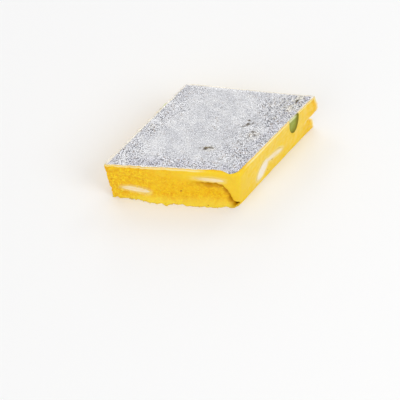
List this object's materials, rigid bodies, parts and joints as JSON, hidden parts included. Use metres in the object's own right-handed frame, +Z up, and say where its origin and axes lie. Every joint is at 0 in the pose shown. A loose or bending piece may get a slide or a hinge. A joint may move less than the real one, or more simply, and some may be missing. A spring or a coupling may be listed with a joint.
{
  "type": "saffron cashew barfi",
  "caption": "Diamond-cut slab of saffron milk fudge with a silver leaf top and cut cashews and pistachios showing flush in its sides.",
  "frame": {"origin": "centre of the piece's box at the level of the base", "axes": "+X along the long axis and the front side, +Y from the front side to the back, +Z up through the silver leaf"},
  "size_m": [0.0646, 0.0394, 0.0147],
  "materials": {
    "saffron_paste": "moist milk fudge, smooth where cut and crumbly where broken",
    "silver_leaf": "thin crinkled edible silver leaf, satin",
    "cashew": "smooth cut nut",
    "pistachio": "cut green nut with a darker skin"
  },
  "bodies": {
    "root": {"barfi_block": "saffron_paste", "silver_leaf": "silver_leaf", "cashew_front_left": "cashew", "cashew_front_right": "cashew", "cashew_right": "cashew", "pistachio_right": "pistachio", "cashew_back": "cashew", "cashew_back_small": "cashew", "cashew_left": "cashew", "pistachio_left": "pistachio"}
  },
  "joints": []
}
